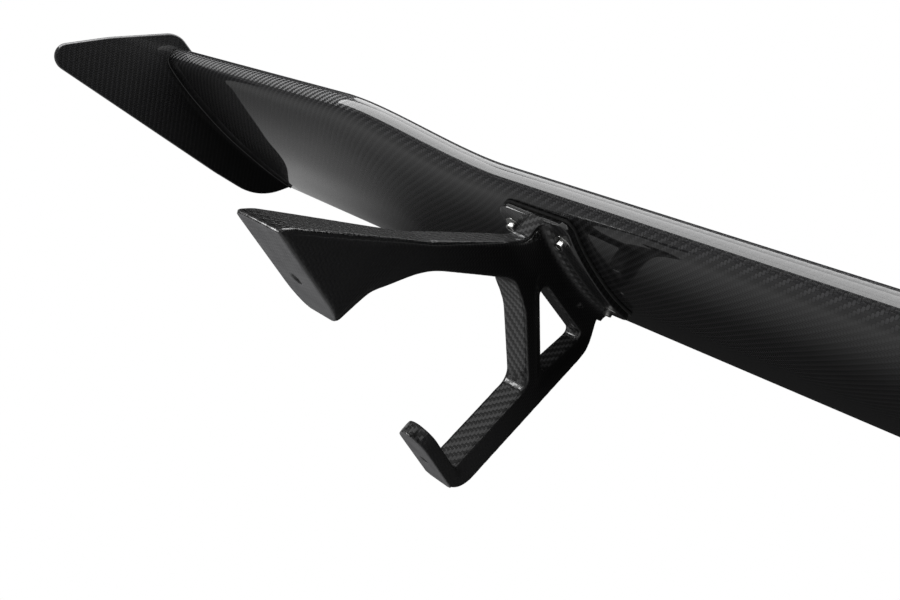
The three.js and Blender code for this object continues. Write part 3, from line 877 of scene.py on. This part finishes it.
for hand, side in (("left", -1), ("right", 1)):
    o = bpy.data.objects.new("upright" + hand.capitalize(), body.data.copy())
    bpy.context.collection.objects.link(o)
    o.data.transform(Matrix.Translation((side * uprightX, 0, 0)))
    finishPiece(o, carbonUpright, ["upright_" + hand])
    u = upright
    x = side * (uprightX + u["flangeShift"] * mm)
    plate = curvedPlate("flange" + hand.capitalize(), u["flangeFrom"], u["flangeTo"], u["seat"],
                        u["flangeThick"], u["flangeHalf"], u["flangeCorner"], u["flangeEdge"], x)
    finishPiece(plate, carbonFlange)
    # the gasket shows a little all round the flange
    padFrom, padTo = u["flangeFrom"] - u["padFront"], u["flangeTo"] + u["padRear"]
    pad = curvedPlate("gasket" + hand.capitalize(), padFrom, padTo, u["padGap"], u["padThick"],
                      u["flangeHalf"] + u["padSide"], u["flangeCorner"] + u["padSide"], u["padEdge"], x)
    finishPiece(pad, gasketRubber, ["flange_gasket_" + hand])
bpy.data.objects.remove(body)
print("uprights made")

# screws and washers
hardware = {
    "at": (0.105, 0.565),  # fractions of the chord
    "half": 26.0,
    "head": 4.25, "headHigh": 5.0, "rim": 0.5, "soft": 0.15, "under": 0.2,
    "key": 2.3, "keyDeep": 2.6, "land": 0.45, "lead": 0.25, "cone": 0.6,  # the hexagon socket
    "shank": 2.5, "reach": 7.5,
    "washer": 7.5, "washerThick": 1.2, "washerHole": 2.8, "washerEdge": 0.3,
    "sunk": 0.4,  # washers are let into the flange a little
    "gap": 0.05,  # between washer and head
    "segments": 48, "washerSegments": 56,
    "sharp": 35,  # degrees
}


# outline of (radius, height) turned about an axis
def turnedSolid(name, outline, base, axis, segments):
    verts, faces = [], []
    z = Vector(axis).normalized()
    x = Vector((1, 0, 0))
    y = z.cross(x)
    n = len(outline)
    for k in range(segments):
        t = 2 * math.pi * k / segments
        out = x * math.cos(t) + y * math.sin(t)
        verts += [Vector(base) + out * r * mm + z * h * mm for r, h in outline]
    for k in range(segments):
        for i in range(n):
            j = (i + 1) % n
            a, b = k * n, ((k + 1) % segments) * n
            faces.append((a + i, b + i, b + j, a + j))
    o = addMesh(name, verts, faces)
    outwardNormals(o)
    return o


# distance to the side of a hexagon at an angle
def hexRadius(t, across):
    return across / math.cos((t + math.pi / 6) % (math.pi / 3) - math.pi / 6)


def makeScrew(name, base, axis, material, node, bottom):
    h = hardware
    z = Vector(axis).normalized()
    x = Vector((1, 0, 0))
    y = z.cross(x)
    turns = np.arange(h["segments"]) * 2 * math.pi / h["segments"]

    # one ring about the axis, whose radius may change with the angle
    def ring(radius, height):
        spokes = [(x * math.cos(t) + y * math.sin(t)) * radius(t) * mm for t in turns]
        return [Vector(base) + spoke + z * height * mm for spoke in spokes]

    # from the shank's end up over the head and down into the hexagon socket
    head, top, rim, soft = h["head"], h["headHigh"], h["rim"], h["soft"]
    outline = [(h["shank"], bottom), (h["shank"], 0), (head - soft, 0), (head, h["under"]),
               (head, top - rim), (head - soft, top - soft), (head - rim, top), (h["key"] + h["land"], top)]
    rings = [ring(lambda t: r, v) for r, v in outline]
    flat = h["key"] * 0.87  # centre to flat
    for depth, grow in ((top, h["lead"]), (top - h["lead"], 0.0), (top - h["keyDeep"], 0.0)):
        rings.append(ring(lambda t: hexRadius(t, flat) + grow, depth))
    rings.append(ring(lambda t: 0.01, top - h["keyDeep"] - h["cone"]))
    o = outwardNormals(addMesh(name, *ringSolid(rings)))
    o.data.set_sharp_from_angle(angle=math.radians(h["sharp"]))
    return finishPiece(o, material, [node])


def steelMaterial(name, colour, rough, streak):
    m, tree, bsdf = newMaterial(name)
    film = useGroup(tree, blotch, Size=400.0, Low=0.0, High=1.0)
    dull = tuple(c * 0.8 for c in colour)
    tree.links.new(mixColour(tree, film.outputs[0], colour, dull), bsdf.inputs["Base Color"])
    tree.links.new(mathNode(tree, "MULTIPLY_ADD", film.outputs[0], streak, rough), bsdf.inputs["Roughness"])
    bsdf.inputs["Metallic"].default_value = 1.0
    return m


screwSteel = steelMaterial("screwSteel", (0.5, 0.5, 0.49), 0.2, 0.12)
washerSteel = steelMaterial("washerSteel", (0.5, 0.5, 0.49), 0.2, 0.1)
seatOut = upright["seat"] + upright["flangeThick"] - hardware["sunk"]


def washerSection():
    h = hardware
    hole, r, edge, thick = h["washerHole"], h["washer"], h["washerEdge"], h["washerThick"]
    return [(hole, 0), (r - edge, 0), (r, edge), (r, thick - edge), (r - edge, thick), (hole, thick)]


# one washer and its screw, on the underside at base
def makeFastening(tag, base, axis):
    h = hardware
    washerBase = base + axis * seatOut * mm
    w = turnedSolid("washer_" + tag, washerSection(), washerBase, axis, h["washerSegments"])
    w.data.set_sharp_from_angle(angle=math.radians(h["sharp"]))
    finishPiece(w, washerSteel, ["flange_washer_" + tag])
    under = seatOut + h["washerThick"] + h["gap"]
    shankEnd = -under - h["reach"]
    makeScrew("screw_" + tag, base + axis * under * mm, axis, screwSteel, "flange_screw_" + tag, shankEnd)


for hand, side in (("left", -1), ("right", 1)):
    for place, fraction in zip(("front", "rear"), hardware["at"]):
        p, d = underside(fraction, fraction + 1e-4, 0.0, 2)
        for row, across in (("inner", -side), ("outer", side)):
            base = Vector(p[0])
            base.x = side * (uprightX + upright["flangeShift"] * mm) + across * hardware["half"] * mm
            makeFastening(f"{hand}_{place}_{row}", base, Vector(d[0]).normalized())
print("hardware made")

# hidden and plain CAD pieces
foamCore = makeTinted("foamCore", 300.0, (0.62, 0.52, 0.3), (0.5, 0.4, 0.22), 0.9)
machinedAlloy = steelMaterial("machinedAlloy", (0.55, 0.56, 0.58), 0.3, 0.1)
for node, o in frame["nodes"].items():
    if o.hide_render:
        continue
    use = foamCore if "spar" in node else screwSteel if "screw" in node else machinedAlloy
    o.data.materials.clear()
    o.data.materials.append(use)

# floor, light, camera
ground = {"far": 9.0, "drop": 0.5 * mm, "colour": (0.8, 0.8, 0.8, 1), "glow": 0.95, "glowShare": 0.62}
far = ground["far"]
corners = [(-far, -far), (far, -far), (far, far), (-far, far)]
floor = addMesh("floor", [(x, y, -ground["drop"]) for x, y in corners], [(0, 1, 2, 3)], smooth=False)
paleFloor, tree, bsdf = newMaterial("paleFloor")
bsdf.inputs["Base Color"].default_value = ground["colour"]
bsdf.inputs["Roughness"].default_value = 0.9
bsdf.inputs["Specular IOR Level"].default_value = 0.0
glow = tree.nodes.new("ShaderNodeEmission")
glow.inputs[0].default_value = (1, 1, 1, 1)
glow.inputs[1].default_value = ground["glow"]
half = tree.nodes.new("ShaderNodeMixShader")
half.inputs[0].default_value = ground["glowShare"]
tree.links.new(bsdf.outputs[0], half.inputs[1])
tree.links.new(glow.outputs[0], half.inputs[2])
back = tree.nodes.new("ShaderNodeNewGeometry")  # clear from below, so that the wing shows through
clear = tree.nodes.new("ShaderNodeBsdfTransparent")
pick = tree.nodes.new("ShaderNodeMixShader")
tree.links.new(back.outputs["Backfacing"], pick.inputs[0])
tree.links.new(half.outputs[0], pick.inputs[1])
tree.links.new(clear.outputs[0], pick.inputs[2])
tree.links.new(pick.outputs[0], tree.nodes["Material Output"].inputs[0])
floor.data.materials.append(paleFloor)
floor.visible_glossy = False
floor.visible_diffuse = False
floor.visible_shadow = False

# studio by direction: pale paper under and behind the far tip, dark everywhere else
studio = {
    "dark": 0.012,
    "under": 0.5,
    "paper": 0.45,
    "paperFrom": 42.0, "paperTo": 57.0,  # degrees from the back towards the left
    "paperFade": 110.0, "paperEnd": 150.0,
    # heights of the direction, -1 straight down to 1 straight up
    "paperTop": (0.42, 0.14),
    "paperFoot": (-0.3, 0.02, 0.3, 1.0),
    "underBand": (-0.1, -0.8),
}
world = bpy.data.worlds.new("studio")
bpy.context.scene.world = world
world.use_nodes = True
wt = world.node_tree
co = wt.nodes.new("ShaderNodeTexCoord")
xyz = wt.nodes.new("ShaderNodeSeparateXYZ")
wt.links.new(co.outputs["Generated"], xyz.inputs[0])
turn = {name: math.radians(studio[name]) for name in ("paperFrom", "paperTo", "paperFade", "paperEnd")}
angle = mathNode(wt, "ARCTAN2", mathNode(wt, "MULTIPLY", xyz.outputs[0], -1.0), xyz.outputs[1])
paper = ramp(wt, angle, turn["paperFrom"], turn["paperTo"], 0.0, studio["paper"])
paper = mathNode(wt, "MULTIPLY", paper, ramp(wt, angle, turn["paperEnd"], turn["paperFade"]))
paper = mathNode(wt, "MULTIPLY", paper, ramp(wt, xyz.outputs[2], *studio["paperTop"]))
paper = mathNode(wt, "MULTIPLY", paper, ramp(wt, xyz.outputs[2], *studio["paperFoot"]))
under = ramp(wt, xyz.outputs[2], *studio["underBand"], 0.0, studio["under"])
total = mathNode(wt, "ADD", mathNode(wt, "MAXIMUM", paper, under), studio["dark"])
bg = wt.nodes["Background"]
bg.inputs[0].default_value = (1, 1, 1, 1)
wt.links.new(total, bg.inputs[1])
white = wt.nodes.new("ShaderNodeBackground")
white.inputs[0].default_value = (1, 1, 1, 1)
path = wt.nodes.new("ShaderNodeLightPath")
mixW = wt.nodes.new("ShaderNodeMixShader")
wt.links.new(path.outputs["Is Camera Ray"], mixW.inputs[0])
wt.links.new(bg.outputs[0], mixW.inputs[1])
wt.links.new(white.outputs[0], mixW.inputs[2])
wt.links.new(mixW.outputs[0], wt.nodes["World Output"].inputs[0])


# flat soft light; radiance is the brightness of its face
def softBox(name, place, aim, size, radiance, only=None):
    data = bpy.data.lights.new(name, "AREA")
    data.shape = "RECTANGLE"
    data.size, data.size_y = size
    data.energy = radiance * math.pi * size[0] * size[1]
    o = bpy.data.objects.new(name, data)
    o.location = place
    o.rotation_euler = (Vector(aim) - Vector(place)).to_track_quat("-Z", "Y").to_euler()
    bpy.context.collection.objects.link(o)
    o.visible_camera = False
    if only is not None:
        o.light_linking.receiver_collection = only
    return o


frontLit = bpy.data.collections.new("frontLit")
uprightLit = bpy.data.collections.new("uprightLit")
mountLit = bpy.data.collections.new("mountLit")
topLit = bpy.data.collections.new("topLit")
for o in bpy.context.scene.objects:
    if o.type != "MESH":
        continue
    inFront = o.name.startswith(("blade", "endPlate", "screw", "washer"))
    if inFront:
        frontLit.objects.link(o)
    elif o.name != "topSheet" and o.name != "floor":
        mountLit.objects.link(o)
    if not o.name.startswith(("blade", "upright")):
        topLit.objects.link(o)
    if o.name.startswith(("upright", "flange")):
        uprightLit.objects.link(o)
softBox("frontWall", (-0.05, -1.6, 1.27), (-0.05, 0, 1.27), (4.1, 2.25), 6.3, frontLit)
softBox("frontRoof", (-0.3, -0.8, 2.4), (-0.3, -0.8, 0), (4.9, 1.6), 3.2, frontLit)
softBox("mountWall", (-0.05, -1.6, 1.1), (-0.05, 0, 0.6), (4.1, 1.6), 0.75, mountLit)
# small bright panels that glint in the concave corners and along rounded edges
softBox("cornerPanel", (-1.16, -1.1, -0.38), (-0.23, 0.1, 0.1), (0.5, 0.5), 10, uprightLit)
softBox("edgePanel", (-1.5, -0.37, 1.9), (-0.23, -0.04, 0.17), (0.9, 0.6), 3.5, uprightLit)
softBox("topSoft", (0.0, 0.2, 2.4), (0.0, 0.2, 0), (4.4, 2.6), 1.5, topLit)

view = {
    "fromCrest": (379.2 * mm, -418.8 * mm, -334.8 * mm),  # camera from the crest above the left upright
    "right": (0.694, 0.328, 0.641),
    "up": (-0.3395, -0.635, 0.6935),
    "lens": 32,
}
camData = bpy.data.cameras.new("camera")
camData.lens = view["lens"]
camData.sensor_width = 36
camData.clip_start = 0.01
cam = bpy.data.objects.new("camera", camData)
bpy.context.collection.objects.link(cam)
r = Vector(view["right"]).normalized()
upV = Vector(view["up"])
upV = (upV - r * upV.dot(r)).normalized()
b = r.cross(upV)
place = Vector((-uprightX, yl, zl)) + Vector(view["fromCrest"])
cam.matrix_world = Matrix((
    (r.x, upV.x, b.x, place.x), (r.y, upV.y, b.y, place.y), (r.z, upV.z, b.z, place.z), (0, 0, 0, 1)))
bpy.context.scene.camera = cam
bpy.context.scene.view_settings.view_transform = "Standard"

print("scene ready")
